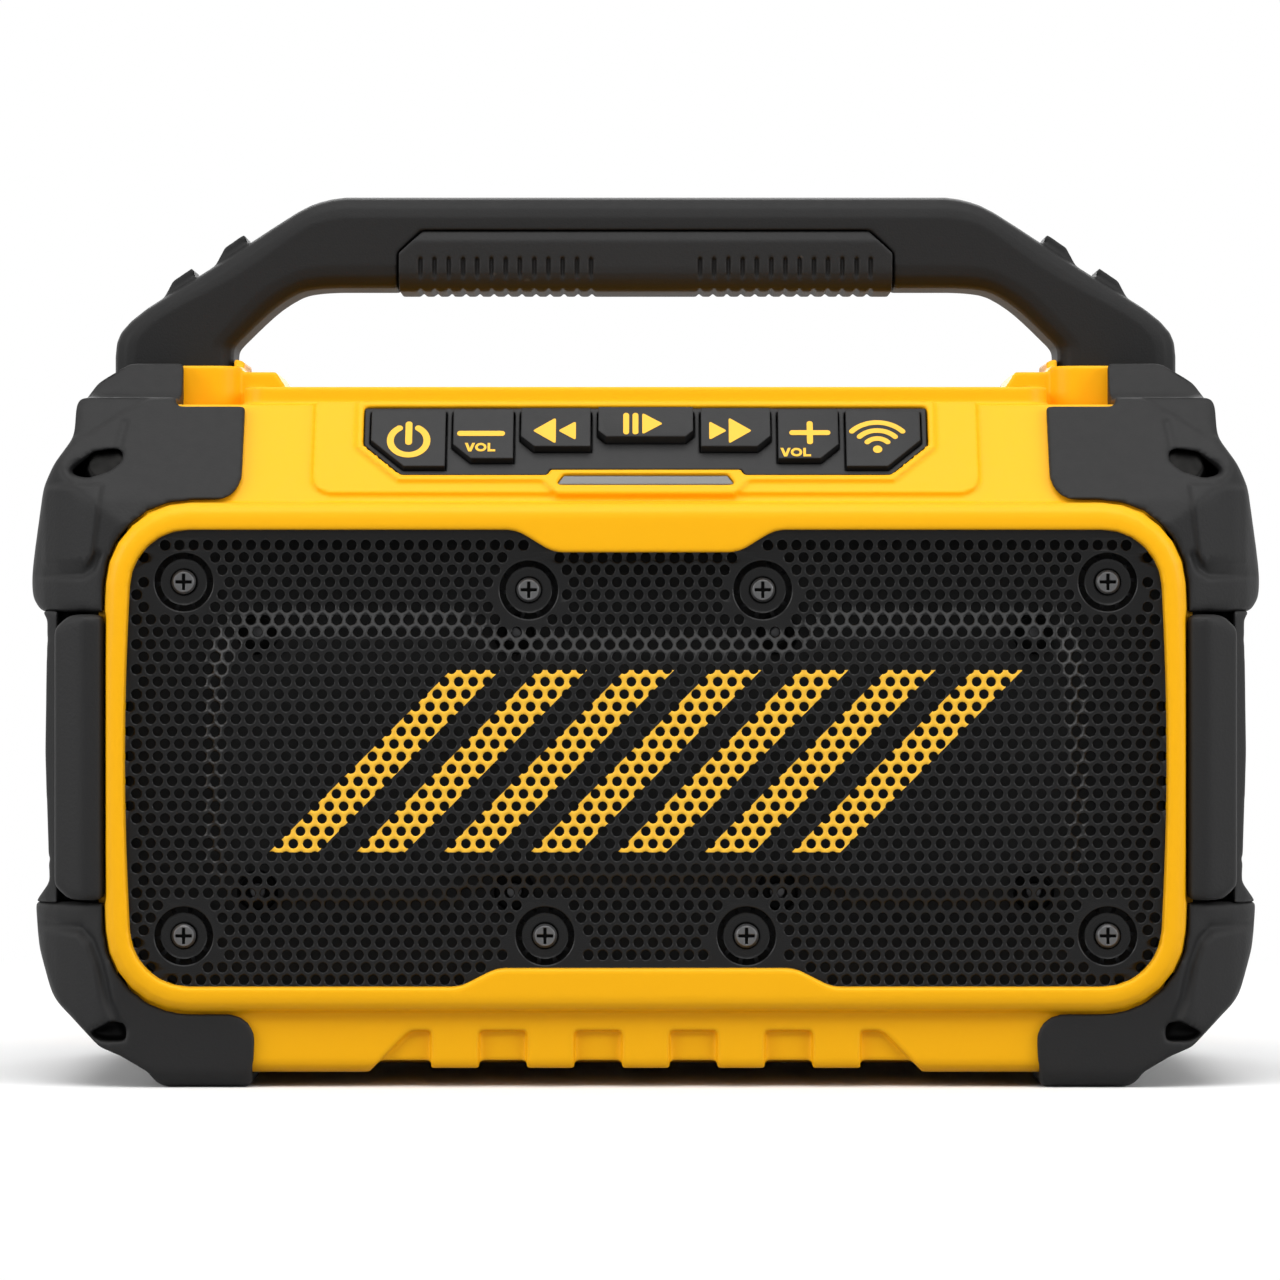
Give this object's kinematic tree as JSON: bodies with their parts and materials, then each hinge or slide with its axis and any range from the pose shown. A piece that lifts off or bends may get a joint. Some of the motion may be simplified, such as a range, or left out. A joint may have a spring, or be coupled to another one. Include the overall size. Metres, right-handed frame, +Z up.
{
  "type": "jobsite speaker",
  "caption": "Portable jobsite speaker with a moulded housing, rubber corner bumpers, perforated grille, sloped keypad, carrying handle and rear battery bay.",
  "frame": {"origin": "on the floor under the middle of the speaker", "axes": "+Z up, the grille faces -Y, +X to the right seen from the front"},
  "size_m": [0.253, 0.132, 0.1845],
  "materials": {
    "yellow_shell": "satin moulded plastic",
    "black_rubber": "matte overmoulded rubber",
    "zinc_steel": "zinc plated",
    "grille_black": "satin black powder coat on perforated steel",
    "black_screw": "black zinc",
    "driver_steel": "black pressed steel",
    "ferrite": "ferrite",
    "cone_paper": "coated paper",
    "dust_cap": "coated dome",
    "coil_copper": "copper",
    "spider_cloth": "treated cloth",
    "acoustic_cloth": "black woven acoustic cloth",
    "black_plastic": "fine textured moulding",
    "key_black": "matte silicone",
    "lens": "frosted light pipe",
    "board_green": "solder mask",
    "capacitor": "sleeved can",
    "heatsink": "extruded"
  },
  "bodies": {
    "housing": {"front_housing": "yellow_shell", "rear_housing": "yellow_shell", "rear_panel": "yellow_shell", "handle_mounts": "yellow_shell", "gaskets": "black_rubber", "housing_screws": "zinc_steel", "speaker_grille": "grille_black", "grille_cloth": "acoustic_cloth", "grille_screws": "black_screw", "driver_frames": "driver_steel", "driver_top_plates": "driver_steel", "driver_magnets": "ferrite", "driver_yokes": "driver_steel", "left_surround": "black_rubber", "right_surround": "black_rubber", "left_spider": "spider_cloth", "right_spider": "spider_cloth", "driver_screws": "zinc_steel", "keypad_base": "black_plastic", "light_pipe": "lens", "control_board": "board_green", "key_switches": "black_plastic", "status_lights": "lens", "board_screws": "zinc_steel", "main_board": "board_green", "board_capacitors": "capacitor", "amplifier_heatsink": "heatsink", "wireless_module": "heatsink", "battery_bay": "black_plastic", "terminal_block": "black_plastic", "terminal_blades": "coil_copper", "port_panel": "black_plastic", "aux_jack": "black_plastic", "power_jack": "black_plastic", "port_board": "board_green", "flap_tether": "black_rubber", "handle": "black_plastic", "handle_grip": "black_rubber", "handle_bolts": "zinc_steel", "left_upper_bumper": "black_rubber", "right_upper_bumper": "black_rubber", "left_lower_bumper": "black_rubber", "right_lower_bumper": "black_rubber", "left_side_panel": "black_rubber", "right_side_panel": "black_rubber", "edge_pads": "black_rubber"},
    "left_cone_body": {"left_cone": "cone_paper", "left_dust_cap": "dust_cap", "left_voice_coil": "coil_copper"},
    "right_cone_body": {"right_cone": "cone_paper", "right_dust_cap": "dust_cap", "right_voice_coil": "coil_copper"},
    "flap_body": {"port_flap": "black_rubber"},
    "power_key_body": {"power_key": "key_black"},
    "volume_down_key_body": {"volume_down_key": "key_black"},
    "previous_key_body": {"previous_key": "key_black"},
    "play_key_body": {"play_key": "key_black"},
    "next_key_body": {"next_key": "key_black"},
    "volume_up_key_body": {"volume_up_key": "key_black"},
    "wireless_key_body": {"wireless_key": "key_black"}
  },
  "joints": [
    {"name": "power_press", "type": "slide", "parent": "housing", "child": "power_key_body", "axis": [0, 0.8, -0.6], "range_m": [0, 0.001], "stiffness_N_per_m": 600},
    {"name": "volume_down_press", "type": "slide", "parent": "housing", "child": "volume_down_key_body", "axis": [0, 0.8, -0.6], "range_m": [0, 0.001], "stiffness_N_per_m": 600},
    {"name": "previous_press", "type": "slide", "parent": "housing", "child": "previous_key_body", "axis": [0, 0.8, -0.6], "range_m": [0, 0.001], "stiffness_N_per_m": 600},
    {"name": "play_press", "type": "slide", "parent": "housing", "child": "play_key_body", "axis": [0, 0.8, -0.6], "range_m": [0, 0.001], "stiffness_N_per_m": 600},
    {"name": "next_press", "type": "slide", "parent": "housing", "child": "next_key_body", "axis": [0, 0.8, -0.6], "range_m": [0, 0.001], "stiffness_N_per_m": 600},
    {"name": "volume_up_press", "type": "slide", "parent": "housing", "child": "volume_up_key_body", "axis": [0, 0.8, -0.6], "range_m": [0, 0.001], "stiffness_N_per_m": 600},
    {"name": "wireless_press", "type": "slide", "parent": "housing", "child": "wireless_key_body", "axis": [0, 0.8, -0.6], "range_m": [0, 0.001], "stiffness_N_per_m": 600},
    {"name": "left_cone_stroke", "type": "slide", "parent": "housing", "child": "left_cone_body", "axis": [0, 1, 0], "range_m": [-0.002, 0.002], "stiffness_N_per_m": 1600, "deforming": ["left_surround", "left_spider"]},
    {"name": "right_cone_stroke", "type": "slide", "parent": "housing", "child": "right_cone_body", "axis": [0, 1, 0], "range_m": [-0.002, 0.002], "stiffness_N_per_m": 1600, "deforming": ["right_surround", "right_spider"]},
    {"name": "port_flap_hinge", "type": "hinge", "parent": "housing", "child": "flap_body", "pos_m": [0.056, 0.064, 0.062], "axis": [0, 0, 1], "range_deg": [0, 110], "stiffness_Nm_per_rad": 0.004}
  ]
}
